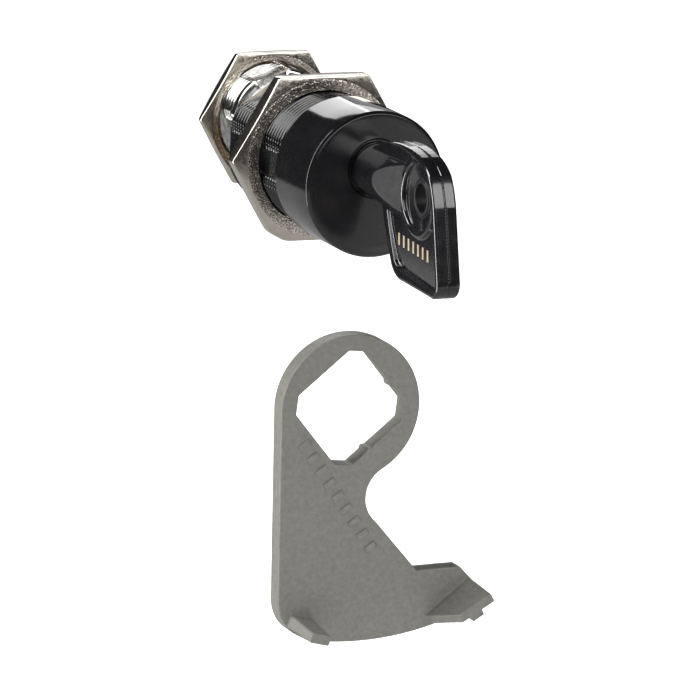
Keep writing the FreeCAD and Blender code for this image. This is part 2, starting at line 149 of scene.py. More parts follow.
def cut_flats(points, normals, offset, z=0.0):
    """Pushes points that lie beyond a flat back onto it, along the flat's normal."""
    points = points.copy()
    for degrees in normals:
        nx, nz = math.cos(math.radians(degrees)), math.sin(math.radians(degrees))
        beyond = np.maximum(points[:, 0] * nx + (points[:, 2] - z) * nz - offset, 0)
        points[:, 0] -= beyond * nx
        points[:, 2] -= beyond * nz
    return points


def thread_radius(y, crest, fade):
    """Radius round one ring of a right-hand thread with rounded crests and roots."""
    phase = (y / THREAD_PITCH + turns() / (2 * np.pi)) % 1.0
    slope = np.clip((np.abs(2 * phase - 1) - CREST_SHARE) / (1 - 2 * CREST_SHARE), 0, 1)
    return crest - THREAD_DEPTH * fade * slope * slope * (3 - 2 * slope)


def thread_rings(start, end, crest, z, flats, offset):
    """Rings of a thread between two planes, faded out at both ends and cut by flats."""
    steps = int(round((end - start) / THREAD_PITCH * RINGS_PER_PITCH))
    rings = []
    for y in np.linspace(start, end, steps + 1):
        fade = min(1.0, (y - start) / THREAD_RUN_OUT, (end - y) / THREAD_RUN_OUT)
        rings.append(cut_flats(ring(y, thread_radius(y, crest, max(fade, 0.0)), z), flats, offset, z))
    return rings


# ---------------------------------------------------------------- solids from distance fields
def smooth_max(a, b, k):
    h = np.clip(0.5 - 0.5 * (b - a) / k, 0, 1)
    return b * (1 - h) + a * h + k * h * (1 - h)


def smooth_min(a, b, k):
    return -smooth_max(-a, -b, k)


def polygon_distance(points, u, v):
    """Signed distance from (u, v) to a closed outline, negative inside."""
    points = np.asarray(points, float)
    best = np.full(u.shape, 1e9)
    inside = np.zeros(u.shape, bool)
    for (au, av), (bu, bv) in zip(points, np.roll(points, -1, axis=0)):
        eu, ev = bu - au, bv - av
        share = np.clip(((u - au) * eu + (v - av) * ev) / (eu * eu + ev * ev), 0, 1)
        best = np.minimum(best, np.hypot(u - au - share * eu, v - av - share * ev))
        crosses = (av > v) != (bv > v)
        with np.errstate(divide="ignore", invalid="ignore"):
            inside ^= crosses & (u < eu * (v - av) / (ev if ev else 1e-12) + au)
    return np.where(inside, -best, best)


def arc_points(a, b, c, count=14):
    """Points on the circular arc from a through b towards c, without c itself."""
    (ax, ay), (bx, by), (cx, cy) = a, b, c
    d = 2 * (ax * (by - cy) + bx * (cy - ay) + cx * (ay - by))
    sa, sb, sc = ax * ax + ay * ay, bx * bx + by * by, cx * cx + cy * cy
    ox = (sa * (by - cy) + sb * (cy - ay) + sc * (ay - by)) / d
    oy = (sa * (cx - bx) + sb * (ax - cx) + sc * (bx - ax)) / d
    start, middle, end = (math.atan2(p[1] - oy, p[0] - ox) for p in (a, b, c))
    sweep = (end - start) % (2 * math.pi)
    if (middle - start) % (2 * math.pi) > sweep:
        sweep -= 2 * math.pi
    radius = math.hypot(ax - ox, ay - oy)
    angles = [start + sweep * i / count for i in range(count)]
    return [(ox + radius * math.cos(angle), oy + radius * math.sin(angle)) for angle in angles]


def slab(outline_distance, across, half, rounding):
    """Plate of a flat outline with rounded edges; across is the distance from its middle plane."""
    side = outline_distance + rounding
    top = np.abs(across) - half + rounding
    return np.minimum(np.maximum(side, top), 0) + np.hypot(np.maximum(side, 0), np.maximum(top, 0)) - rounding


def solid_from_field(name, field, low, voxel, to_frame):
    """Mesh of the field's zero surface, from the grid's first corner in mm; to_frame maps mm to the frame."""
    grid = openvdb.FloatGrid(background=3 * voxel)
    grid.copyFromArray(np.clip(field, -3 * voxel, 3 * voxel).astype(np.float32), tolerance=0.0)
    points, _, quads = grid.convertToPolygons(isovalue=0.0, adaptivity=0.0)
    places = to_frame(np.asarray(low) + points * voxel)
    return mesh_object(name, places, quads.tolist())


def field_grid(low, high, voxel):
    axes = [np.arange(a, b + voxel, voxel) for a, b in zip(low, high)]
    return np.meshgrid(*axes, indexing="ij", sparse=True)


# ---------------------------------------------------------------- barrel
def rear_flat(points):
    """Cuts the barrel's third flat, which starts behind the front nut."""
    if points[0, 1] < REAR_FLAT_START:
        return points
    return cut_flats(points, (REAR_FLAT_TURN,), REAR_FLAT_OFFSET)


def build_barrel():
    """Smooth head with its eccentric nose opening, threaded barrel with two flats, and the bore."""
    flats = (0, 180)
    rim = 0.5 * MM
    nose_break = 0.18 * MM
    opening = NOSE_HOLE_R + nose_break
    rings = [ring(FACE_Y + FRONT_WALL, NOSE_HOLE_R, ROTOR_Z), ring(FACE_Y + nose_break, NOSE_HOLE_R, ROTOR_Z)]
    inner, outer = ring(FACE_Y, opening, ROTOR_Z), ring(FACE_Y, HEAD_R - rim)
    for share in np.linspace(0, 1, 7):
        rings.append(inner * (1 - share) + outer * share)
    # chamfer of the head's edge, eased where it begins and ends
    for back, outwards in ((0.01, 0.05), (0.04, 0.09), (0.41, 0.46), (0.45, 0.49)):
        rings.append(ring(FACE_Y + back * MM, HEAD_R - rim + outwards * MM))
    rings += [ring(FACE_Y + rim, HEAD_R), ring(FACE_Y * 0.5, HEAD_R), ring(-0.2 * MM, HEAD_R),
              ring(0, HEAD_R - 0.2 * MM)]
    root = THREAD_R - THREAD_DEPTH
    rings.append(cut_flats(ring(0, root), flats, FLAT_OFFSET))
    rings.append(cut_flats(ring(THREAD_START, root), flats, FLAT_OFFSET))
    turned = thread_rings(THREAD_START, BARREL_END - 0.5 * MM, THREAD_R, 0.0, flats, FLAT_OFFSET)
    rings += [rear_flat(points) for points in turned]
    end_step, rounding = 0.4 * MM, 0.3 * MM
    for turn in (0, 15, 30, 50, 90):
        a = math.radians(turn)
        drop = rounding * (1 - math.cos(a))
        end = ring(BARREL_END - rounding * (1 - math.sin(a)), THREAD_R - end_step - drop)
        end = cut_flats(end, flats, FLAT_OFFSET - drop)
        rings.append(cut_flats(end, (REAR_FLAT_TURN,), REAR_FLAT_OFFSET - drop))
    rings += [ring(BARREL_END, BORE_R), ring(FACE_Y + FRONT_WALL, BORE_R)]
    barrel = skin("barrel_shell", rings)
    first_band, last_band = 2, 8      # the head's front face, from its opening to its edge
    for polygon in barrel.data.polygons[first_band * RING_COUNT:last_band * RING_COUNT]:
        polygon.material_index = 1
    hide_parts("barrel_housing")
    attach(barrel, "housing")
    return barrel


# ---------------------------------------------------------------- tail
def build_tail():
    """Neck, shoulder and the threaded tail whose four flats drive the lever."""
    flats = [TAIL_FLAT_TURN + 90 * i for i in range(4)]

    def flatted(y, radius):
        return cut_flats(ring(y, radius, ROTOR_Z), flats, TAIL_HALF_FLATS, ROTOR_Z)

    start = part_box("rotor_plug")[1].y + 0.05 * MM
    bore_end_r = 1.5 * MM
    bore_break = 0.3 * MM
    rings = [ring(start, bore_end_r, ROTOR_Z), ring(start, NECK_R, ROTOR_Z),
             ring(TAIL_START, NECK_R, ROTOR_Z),
             flatted(TAIL_START, TAIL_R - 0.55 * MM), flatted(TAIL_START + 0.12 * MM, TAIL_R - 0.3 * MM),
             flatted(TAIL_START + 0.45 * MM, TAIL_R)]
    threaded = (TAIL_START + 0.5 * MM, TAIL_END - 0.5 * MM)
    rings += thread_rings(*threaded, TAIL_R, ROTOR_Z, flats, TAIL_HALF_FLATS)
    rings.append(flatted(TAIL_END, TAIL_R - 0.6 * MM))
    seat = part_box("tail_screw")[1].y - 3.0 * MM
    rings += [ring(TAIL_END, SCREW_BORE_R + bore_break, ROTOR_Z),
              ring(TAIL_END - bore_break, SCREW_BORE_R, ROTOR_Z),
              ring(seat, SCREW_BORE_R, ROTOR_Z), ring(seat, bore_end_r, ROTOR_Z)]
    tail = skin("tail_thread", rings)
    # the flats and the thread's crests, which have no slope along the axis, get a darker nickel: painted shade
    # that dims the reflection they show
    slope_limit = 0.02
    for polygon in tail.data.polygons:
        if polygon.area and abs(polygon.normal.y) < slope_limit:
            polygon.material_index = 1
    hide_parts("tail_spindle")
    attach(tail, "rotor")
    return tail


# ---------------------------------------------------------------- nuts
def hexagon_radius(flats, dulled=None):
    """Radius round a hexagon with flats above and below and slightly eased corners.

    dulled is the distance and direction in degrees of one more side, which takes the tip off a corner.
    """
    angle = turns()
    sides = [(flats / 2, 30 + 60 * i) for i in range(6)]
    if dulled:
        sides.append(dulled)
    ease = 90
    total = 0
    for distance, degrees in sides:
        total = total + np.maximum(np.cos(angle - math.radians(degrees)) / distance, 0) ** ease
    return total ** (-1 / ease)


def build_nut(name, node, body, z, bore_r, countersink, dulled=None):
    """Hexagon nut: countersunk bore, flat annulus, shallow corner chamfers and softly broken edges."""
    low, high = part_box(node)
    flats = high.z - low.z
    outer = hexagon_radius(flats, dulled)
    annulus = flats / 2 * NUT_ANNULUS_SHARE
    slope = math.tan(math.radians(NUT_CHAMFER_DEGREES))
    edge = NUT_EDGE

    def face(y, inward):
        """Rings of one face from the bore outwards; inward is +1 at the front and -1 at the back."""
        chamfer_y = np.maximum(outer - edge - annulus, 0) * slope
        rings = [ring(y + inward * countersink, bore_r, z), ring(y, bore_r + countersink, z)]
        inner = bore_r + countersink + 0.15 * MM
        rings += [ring(y, radius, z) for radius in np.linspace(inner, annulus, ANNULUS_BANDS)]
        last = ring(y, outer - edge, z)
        last[:, 1] += inward * chamfer_y
        rings.append(last)
        for turn in (30, 60, 90):
            a = math.radians(turn)
            bend = ring(y, outer - edge * (1 - math.sin(a)), z)
            bend[:, 1] += inward * (chamfer_y + edge * (1 - math.cos(a)))
            rings.append(bend)
        return rings

    front = face(low.y, 1)
    back = face(high.y, -1)
    nut = skin(name, front + back[::-1], 40.0)
    total = len(front) + len(back)
    for start in (1, total - 2 - ANNULUS_BANDS):
        for polygon in nut.data.polygons[start * RING_COUNT:(start + ANNULUS_BANDS) * RING_COUNT]:
            polygon.material_index = 1
    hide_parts(node)
    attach(nut, body)
    return nut


# ---------------------------------------------------------------- key bow
RING_AT = (20.7, -0.6)       # key-ring hole: mm in front of the head's face, mm above the rotor axis
BORE_MATT_R = 3.2 * MM       # the moulded wall of the key-ring hole is matt out to here
INSIDE_CAD = 0.03            # mm by which moulded outlines stay inside the CAD model's

# sizes of the key bow in mm, across its thickness, round its key-ring hole and along its neck
BOW_HALF = 2.0
RING_HOLE_R = 2.2
BOSS_R = 3.1
DISH_R = 5.3
LIP_R = 5.75
PANEL_KEEP_OFF_R = 6.3
NECK_HALF = 4.4
FACET_START = 7.9
FACET_SLOPE = 0.30
NECK_END = 16.05


def panel_depth(up):
    """Depth of the sunk panel below the side of the bow, in mm; it deepens towards the lower edge."""
    return 0.45 + 0.35 * np.clip((-5.0 - up) / 8.5, 0, 1) ** 2


def build_key_bow():
    """Moulded bow: neck that flattens into a plate with a rimmed panel and a dish round the key-ring hole."""
    voxel = 0.11
    low, high = (-5.0, -0.3, -16.0), (5.0, 30.6, 7.6)
    x, out, up = field_grid(low, high, voxel)
    out_2d, up_2d = np.broadcast_arrays(out[0], up[0])
    outline = (arc_points((2.6, 4.3), (12.0, 6.6), (20.8, 5.9))
               + arc_points((20.8, 5.9), (23.0, 5.1), (25.0, 3.8))
               + arc_points((25.0, 3.8), (26.38, 1.56), (27.3, -0.9)) + [(27.3, -0.9)]
               + arc_points((29.8, -12.2), (29.37, -14.2), (27.6, -15.2)) + [(27.6, -15.2)]
               + arc_points((16.0, -14.9), (13.2, -14.5), (11.4, -13.2))
               + arc_points((11.4, -13.2), (9.1, -9.2), (6.9, -4.3)) + [(6.9, -4.3), (2.6, -4.3)])
    edge = polygon_distance(outline, out_2d, up_2d) + INSIDE_CAD
    from_hole = np.hypot(out_2d - RING_AT[0], up_2d - RING_AT[1])
    half = BOW_HALF
    plate = slab(edge[None], x, half, 0.5)
    inner_side = np.maximum(edge + 1.0, 0.8 * (edge + 1.9 - 0.06 * (out_2d - 12.0)))
    panel = smooth_max(inner_side, PANEL_KEEP_OFF_R - from_hole, 0.4)
    panel = smooth_max(panel, up_2d + 4.6, 0.4)
    above_floor = half - panel_depth(up_2d)[None] - np.abs(x)
    plate = smooth_max(plate, -smooth_max(panel[None], above_floor, 0.2), 0.2)
    across = np.hypot(x, up)
    facet = (np.abs(x) - NECK_HALF + (out - FACET_START) * FACET_SLOPE) / math.hypot(1, FACET_SLOPE)
    neck = smooth_max(across - NECK_HALF, np.maximum(0.15 - out, out - NECK_END), 0.35)
    neck = smooth_max(neck, facet, 0.3)
    bow = smooth_min(plate, neck, 0.35)
    dish_wall = (from_hole - DISH_R)[None]
    ring_lip = smooth_max(np.abs(from_hole - LIP_R)[None] - 0.3, np.abs(x) - half - 0.05, 0.25)
    ring_lip = smooth_max(ring_lip, (edge + 1.1)[None], 0.2)
    bow = smooth_min(bow, ring_lip, 0.3)
    hollow = np.maximum(dish_wall, half - 0.9 + 0.16 * (from_hole - 2.9)[None] - np.abs(x))
    hollow = smooth_max(hollow, (2.9 - from_hole)[None], 0.15)
    boss = smooth_max((from_hole - BOSS_R)[None], half - 0.6 - np.abs(x), 0.15)
    bow = smooth_max(bow, -hollow, 0.3)
    bow = smooth_max(bow, -boss, 0.2)
    bow = smooth_max(bow, (RING_HOLE_R - from_hole)[None], 0.25)
    parting = np.maximum(np.abs(x) - 0.09, -(edge + 0.14)[None])
    parting = np.maximum(parting, 9.0 - out)
    bow = smooth_max(bow, -parting, 0.1)

    def to_frame(p):
        return np.stack([p[:, 0] * MM, FACE_Y - p[:, 1] * MM, ROTOR_Z + p[:, 2] * MM], axis=1)

    piece = solid_from_field("key_bow_moulding", bow, low, voxel, to_frame)
    hole_y, hole_z = FACE_Y - RING_AT[0] * MM, ROTOR_Z + RING_AT[1] * MM
    for polygon in piece.data.polygons:
        place = polygon.center
        if math.hypot(place.y - hole_y, place.z - hole_z) < BORE_MATT_R:
            polygon.material_index = 1
    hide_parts("key_bow")
    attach(piece, "key")
    return piece


def build_key_dashes():
    """Seven plain tan strokes printed in the left panel of the bow, in place of a code."""
    count = 7
    start, end = (12.4, -8.5), (25.4, -9.1)
    half_length, half_height = 0.3, 0.95
    sunk, raised = -0.2, 0.04         # from below to just above the panel's floor
    corners = ((-1, -1), (1, -1), (1, 1), (-1, 1))
    vertices, faces = [], []
    for i in range(count):
        share = (i + 0.5) / count
        out = start[0] + (end[0] - start[0]) * share
        up = start[1] + (end[1] - start[1]) * share
        outline = [(out + a * half_length, up + b * half_height) for a, b in corners]
        base = len(vertices)
        for proud in (sunk, raised):
            vertices += [((panel_depth(u) - BOW_HALF - proud) * MM, FACE_Y - o * MM, ROTOR_Z + u * MM)
                         for o, u in outline]
        faces += [(base, base + 1, base + 2, base + 3), (base + 4, base + 7, base + 6, base + 5)]
        faces += [(base + j, base + 4 + j, base + 4 + (j + 1) % 4, base + (j + 1) % 4) for j in range(4)]
    dashes = mesh_object("key_dashes", vertices, faces, 30.0)
    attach(dashes, "key")
    return dashes


# ---------------------------------------------------------------- locking lever
EYE_R = 12.7
LEVER_THICKNESS = 3.6
HOLE_FLATS = 16.2
HOLE_CORNERS = 19.6
HOLE_TURN = 39.0
MARK_ROW = ((-9.0, -4.8), (5.2, -25.7))      # ends of the row of raised bars, from the centre of the hole
MARK_COUNT = 9
MARK_HEIGHT = 0.32
MARK_HALF_LENGTH = 0.62
MARK_HALF_WIDTH = 1.1
CATCH_LENGTH = 7.0
PIN_LENGTH = 8.0
PIN_AT = (-7.9, -37.1)       # root of the follower pin, from the centre of the hole
PIN_DRIFT = (0.4, -0.75)     # how far the pin leans over its length
PIN_TILT = -14.0


def quad_distance(corners_near, corners_far, share, u, v):
    """Distance field of a convex four-sided bar whose section changes evenly with share."""
    result = None
    for i in range(4):
        j = (i + 1) % 4
        au, av = (corners_near[i][k] + (corners_far[i][k] - corners_near[i][k]) * share for k in (0, 1))
        bu, bv = (corners_near[j][k] + (corners_far[j][k] - corners_near[j][k]) * share for k in (0, 1))
        length = np.hypot(bu - au, bv - av)
        distance = -((u - au) * (bv - av) - (v - av) * (bu - au)) / length
        result = distance if result is None else smooth_max(result, distance, 0.15)
    return result


def mark_bars(x, y, z):
    """Row of plain raised bars, slanting down across the front of the lever."""
    (ax, az), (bx, bz) = MARK_ROW
    length = math.hypot(bx - ax, bz - az)
    ux, uz = (bx - ax) / length, (bz - az) / length
    along = (x - ax) * ux + (z - az) * uz
    across = (z - az) * ux - (x - ax) * uz
    pitch = length / MARK_COUNT
    place = along / pitch
    nearest = np.clip(np.floor(place), 0, MARK_COUNT - 1) + 0.5
    bar = np.maximum(np.abs(place - nearest) * pitch - MARK_HALF_LENGTH, np.abs(across) - MARK_HALF_WIDTH)
    return smooth_max(bar, np.maximum(-MARK_HEIGHT - y, y - 1.0), 0.05)


def build_lever():
    """Moulded lever: eye with an eight-cornered hole, sector body, arm with a slot, catch and pin."""
    voxel = 0.15
    low, high = (-13.2, -8.6, -41.9), (25.8, 4.2, 13.2)
    x, y, z = field_grid(low, high, voxel)
    x_2d, z_2d = np.broadcast_arrays(x[:, 0], z[0])
    eye = math.radians(60)
    eye_end = (EYE_R * math.cos(-eye), EYE_R * math.sin(-eye))
    outline = (arc_points((-EYE_R, 0.0), (EYE_R * math.cos(eye), EYE_R * math.sin(eye)), eye_end, 60)
               + arc_points(eye_end, (3.4, -15.4), (5.4, -20.2))
               + [(5.4, -20.2), (13.3, -29.3), (21.4, -29.2), (24.8, -32.8)]
               + arc_points((17.9, -38.9), (4.0, -41.1), (-6.6, -40.3), 30) + [(-6.6, -40.3)]
               + arc_points((-8.2, -39.4), (-11.3, -36.6), (-12.2, -33.2)) + [(-12.2, -33.2)])
    edge = polygon_distance(outline, x_2d, z_2d) + INSIDE_CAD
    # hole with four drive flats, four corner flats between them, and two small notches
    hole = np.full(x_2d.shape, -1e9)
    for i in range(8):
        turn = math.radians(HOLE_TURN + 45 * i)
        distance = HOLE_FLATS / 2 if i % 2 == 0 else HOLE_CORNERS / 2
        hole = np.maximum(hole, x_2d * math.cos(turn) + z_2d * math.sin(turn) - distance)
    for side, along in ((0, -2.1), (3, -2.0)):
        turn = math.radians(HOLE_TURN + 90 * side)
        distance = HOLE_FLATS / 2 + 0.25
        u = distance * math.cos(turn) - along * math.sin(turn)
        v = distance * math.sin(turn) + along * math.cos(turn)
        hole = smooth_max(hole, 0.6 - np.hypot(x_2d - u, z_2d - v), 0.2)
    outline_field = np.maximum(edge, -hole)
    middle = LEVER_THICKNESS / 2
    plate = slab(outline_field[:, None], y - middle, middle, 0.22)
    # slot in the upper edge of the arm
    slot = np.maximum(np.maximum(13.2 - x, x - 21.3), np.maximum(-33.5 - z, np.abs(y - 1.9) - 1.45))
    plate = smooth_max(plate, -slot, 0.12)
    root = 0.2                        # the catch and the pin start this far inside the plate
    share = np.clip((root - y) / (CATCH_LENGTH + root), 0, 1)
    base = [(14.8, -37.6), (23.0, -31.1), (24.5, -32.8), (16.6, -39.1)]
    tip = [(18.4, -35.8), (24.2, -32.4), (25.0, -33.8), (19.2, -37.2)]
    catch = quad_distance(base, tip, share, x, z)
    catch = smooth_max(catch, np.maximum(-CATCH_LENGTH - y, y - 1.0), 0.15)
    nub_corners = [(20.6, -36.2), (22.6, -35.0), (23.2, -36.0), (21.2, -37.2)]
    nub = quad_distance(nub_corners, nub_corners, share, x, z)
    nub = smooth_max(nub, np.maximum(-CATCH_LENGTH - y, y - 1.0), 0.25)
    share = np.clip((root - y) / (PIN_LENGTH + root), 0, 1)
    tilt = math.radians(PIN_TILT)
    from_x, from_z = (c - at - drift * share for c, at, drift in zip((x, z), PIN_AT, PIN_DRIFT))
    along = from_x * math.cos(tilt) + from_z * math.sin(tilt)
    across = from_z * math.cos(tilt) - from_x * math.sin(tilt)
    corner = 0.4
    beyond_long = np.abs(along) - 2.3 + 0.45 * share + corner
    beyond_short = np.abs(across) - 1.15 + 0.25 * share + corner
    pin = (np.hypot(np.maximum(beyond_long, 0), np.maximum(beyond_short, 0))
           + np.minimum(np.maximum(beyond_long, beyond_short), 0) - corner)
    pin = smooth_max(pin, np.maximum(-PIN_LENGTH - y, y - 1.0), 0.15)
    lever = smooth_min(plate, smooth_min(catch, nub, 0.15), 0.2)
    lever = smooth_min(lever, pin, 0.25)
    lever = smooth_min(lever, mark_bars(x, y, z), 0.04)
    opening_low, opening_high = OPENINGS["lever_drive_hole"]["box_m"]
    centre_x, centre_z = ((opening_low[k] + opening_high[k]) / 2 for k in (0, 2))
    front_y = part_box("locking_lever")[1].y - LEVER_THICKNESS * MM

    def to_frame(p):
        return np.stack([centre_x + p[:, 0] * MM, front_y + p[:, 1] * MM, centre_z + p[:, 2] * MM], axis=1)

    piece = solid_from_field("lever_moulding", lever, low, voxel, to_frame)
    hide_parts("locking_lever")
    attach(piece, "lever")
    return piece


# ---------------------------------------------------------------- materials
class Nodes:
    """A material with a principled shader and short calls for the nodes that drive it."""

    def __init__(self, name, **values):
        self.material = bpy.data.materials.new(name)
        self.material.use_nodes = True
        self.tree = self.material.node_tree
        self.shader = self.tree.nodes["Principled BSDF"]
        for socket, value in values.items():
            self.shader.inputs[socket.replace("_", " ")].default_value = value
        self.place = self.tree.nodes.new("ShaderNodeTexCoord").outputs["Object"]

    def link(self, source, target):
        self.tree.links.new(source, target)

    def noise(self, scale, detail=3.0, roughness=0.55, stretch=None):
        node = self.tree.nodes.new("ShaderNodeTexNoise")
        node.inputs["Scale"].default_value = scale
        node.inputs["Detail"].default_value = detail
        node.inputs["Roughness"].default_value = roughness
        place = self.place
        if stretch:
            mapping = self.tree.nodes.new("ShaderNodeMapping")
            mapping.inputs["Scale"].default_value = stretch
            self.link(place, mapping.inputs["Vector"])
            place = mapping.outputs["Vector"]
        self.link(place, node.inputs["Vector"])
        return node.outputs["Fac"]

    def rings(self, scale, distortion=0.0):
        """Fine rings round the Y axis, as turning leaves them."""
        node = self.tree.nodes.new("ShaderNodeTexWave")
        node.wave_type = "RINGS"
        node.rings_direction = "Y"
        node.inputs["Scale"].default_value = scale
        node.inputs["Distortion"].default_value = distortion
        node.inputs["Detail"].default_value = 3.0
        node.inputs["Detail Scale"].default_value = 2.0
        self.link(self.place, node.inputs["Vector"])
        return node.outputs["Fac"]

    def spread(self, source, low, high, source_low=0.3, source_high=0.7):
        """Maps a texture's usual range onto low..high."""
        node = self.tree.nodes.new("ShaderNodeMapRange")
        node.inputs["From Min"].default_value = source_low
        node.inputs["From Max"].default_value = source_high
        node.inputs["To Min"].default_value = low
        node.inputs["To Max"].default_value = high
        self.link(source, node.inputs["Value"])
        return node.outputs["Result"]

    def mixed_colour(self, factor, first, second):
        node = self.tree.nodes.new("ShaderNodeMix")
        node.data_type = "RGBA"
        node.inputs["A"].default_value = (*first, 1)
        node.inputs["B"].default_value = (*second, 1)
        self.link(factor, node.inputs["Factor"])
        self.link(node.outputs["Result"], self.shader.inputs["Base Color"])

    def roughness(self, source, low, high):
        self.link(self.spread(source, low, high), self.shader.inputs["Roughness"])

    def bump(self, heights):
        """Chain of bumps; each entry is (height source, distance in metres, strength)."""
        normal = None
        for source, distance, strength in heights:
            node = self.tree.nodes.new("ShaderNodeBump")
            node.inputs["Distance"].default_value = distance
            node.inputs["Strength"].default_value = strength
            self.link(source, node.inputs["Height"])
            if normal is not None:
                self.link(normal, node.inputs["Normal"])
            normal = node.outputs["Normal"]
        self.link(normal, self.shader.inputs["Normal"])


def black_metal():
    m = Nodes("black_turned_metal", Specular_IOR_Level=0.5, IOR=1.65)
    m.mixed_colour(m.spread(m.noise(180), 0, 1), (0.003, 0.003, 0.003), (0.006, 0.006, 0.007))
    m.roughness(m.noise(900, 4), 0.06, 0.11)
    m.bump([(m.rings(2600, 0.6), 0.000001, 0.25), (m.noise(5200, 2), 0.000001, 0.2)])
    return m.material


def satin_black():
    m = Nodes("black_satin_face", Specular_IOR_Level=0.5, IOR=1.65)
    m.mixed_colour(m.spread(m.noise(180), 0, 1), (0.003, 0.003, 0.004), (0.006, 0.006, 0.007))
    m.roughness(m.noise(1200, 4), 0.17, 0.24)
    m.bump([(m.noise(1600, 3, stretch=(0.15, 1.0, 3.0)), 0.000006, 0.5)])
    return m.material


def nickel(name, light, dark, grain, roughness, speckle, peel):
    """Plated metal: grain is the scale of its colour noise, speckle and peel are fine and coarse bump."""
    m = Nodes(name, Metallic=1.0)
    m.mixed_colour(m.spread(m.noise(grain, 4), 0, 1), light, dark)
    m.roughness(m.noise(1500, 4, 0.6), *roughness)
    m.bump([(m.noise(700, 2), 0.00004, peel), (m.noise(3000, 2, 0.6), 0.00010, speckle)])
    return m.material


def gloss_plastic():
    m = Nodes("black_gloss_moulding", Specular_IOR_Level=0.55, Coat_Weight=0.5, Coat_Roughness=0.05)
    m.mixed_colour(m.spread(m.noise(120), 0, 1), (0.004, 0.004, 0.005), (0.007, 0.007, 0.008))
    m.roughness(m.noise(700, 3, 0.5), 0.10, 0.18)
    m.bump([(m.noise(160, 2), 0.00008, 0.2), (m.noise(2600, 3), 0.000001, 0.2)])
    return m.material


def matt_plastic():
    m = Nodes("black_matt_moulding", Specular_IOR_Level=0.3)
    m.mixed_colour(m.spread(m.noise(900), 0, 1), (0.003, 0.003, 0.004), (0.006, 0.006, 0.007))
    m.roughness(m.noise(1400, 4), 0.38, 0.55)
    m.bump([(m.noise(2600, 3), 0.000004, 0.3)])
    return m.material


def grey_plastic():
    m = Nodes("grey_glass_filled_moulding", Specular_IOR_Level=0.35)
    m.mixed_colour(m.spread(m.noise(1100, 8, 0.75), 0, 1), (0.100, 0.098, 0.085), (0.150, 0.147, 0.128))
    m.roughness(m.noise(1400, 4), 0.36, 0.58)
    m.bump([(m.noise(1100, 5, 0.65), 0.00005, 0.45), (m.noise(3600, 3), 0.00001, 0.4)])
    return m.material


def plain_metal(name, light, dark, rough_low, rough_high):
    m = Nodes(name, Metallic=1.0)
    m.mixed_colour(m.spread(m.noise(700, 4), 0, 1), light, dark)
    m.roughness(m.noise(1600, 3), rough_low, rough_high)
    m.bump([(m.noise(2200, 3), 0.00001, 0.4)])
    return m.material


def rubber():
    m = Nodes("seal_rubber_black", Specular_IOR_Level=0.3)
    m.mixed_colour(m.spread(m.noise(900), 0, 1), (0.014, 0.014, 0.014), (0.024, 0.024, 0.024))
    m.roughness(m.noise(1800), 0.6, 0.75)
    m.bump([(m.noise(3000), 0.00001, 0.4)])
    return m.material


def tan_print():
    m = Nodes("tan_print", Specular_IOR_Level=0.3)
    m.mixed_colour(m.spread(m.noise(1800), 0, 1), (0.22, 0.17, 0.11), (0.30, 0.24, 0.16))
    m.roughness(m.noise(2400), 0.5, 0.7)
    m.bump([(m.noise(3000), 0.00001, 0.4)])
    return m.material


def paint(obj, *materials):
    if len(obj.data.materials):
        obj.data.materials.clear()
    for material in materials:
        obj.data.materials.append(material)


# ---------------------------------------------------------------- build
barrel = build_barrel()
tail = build_tail()
front_nut = build_nut("front_nut_hexagon", "front_nut", "front_nut", 0.0, THREAD_R + 0.05 * MM, 0.2 * MM,
                      dulled=(14.75 * MM, 240))
rear_nut = build_nut("rear_nut_hexagon", "rear_nut", "rear_nut", ROTOR_Z, TAIL_R + 0.05 * MM, 0.7 * MM)
bow = build_key_bow()
dashes = build_key_dashes()
lever = build_lever()

BLACK = black_metal()
NUT_SIDES = nickel("nickel_plate_warm", (0.74, 0.69, 0.61), (0.60, 0.55, 0.47),
                   grain=420, roughness=(0.12, 0.24), speckle=0.03, peel=0.12)
NUT_FACES = nickel("nickel_plate_speckled", (0.95, 0.90, 0.82), (0.34, 0.29, 0.23),
                   grain=2600, roughness=(0.10, 0.26), speckle=0.9, peel=0.15)
BRIGHT_NICKEL = nickel("nickel_plate_bright", (0.80, 0.80, 0.79), (0.66, 0.66, 0.64),
                       grain=420, roughness=(0.06, 0.14), speckle=0.01, peel=0.05)
# darker nickel for the tail's flats and thread crests: painted shade that dims their reflection
TAIL_FLATS_PAINTED_SHADE = nickel("nickel_plate_flats_painted_shade", (0.55, 0.54, 0.51), (0.16, 0.15, 0.14),
                    grain=900, roughness=(0.10, 0.24), speckle=0.5, peel=0.4)
STEEL = plain_metal("bright_steel_drawn", (0.60, 0.60, 0.60), (0.44, 0.44, 0.45), 0.2, 0.36)
NICKEL_SILVER = plain_metal("nickel_silver_rolled", (0.68, 0.65, 0.58), (0.54, 0.51, 0.45), 0.22, 0.38)
BRASS = plain_metal("brass_turned", (0.78, 0.58, 0.28), (0.58, 0.42, 0.18), 0.2, 0.36)
ZINC = plain_metal("zinc_cast", (0.52, 0.52, 0.54), (0.40, 0.40, 0.42), 0.35, 0.55)
RUBBER = rubber()
paint(barrel, BLACK, satin_black())
paint(tail, BRIGHT_NICKEL, TAIL_FLATS_PAINTED_SHADE)
paint(front_nut, NUT_SIDES, NUT_FACES)
paint(rear_nut, NUT_SIDES, NUT_FACES)
paint(bow, gloss_plastic(), matt_plastic())
paint(dashes, tan_print())
paint(lever, grey_plastic())
CAD_FINISHES = {"black_anodised": BLACK, "bright_steel": STEEL, "nickel_silver": NICKEL_SILVER,
                "brass": BRASS, "zinc_casting": ZINC, "seal_rubber": RUBBER}
for row in frame["record"]["subparts"]:
    if row["material_slot"] in CAD_FINISHES:
        paint(frame["nodes"][row["node"]], CAD_FINISHES[row["material_slot"]])


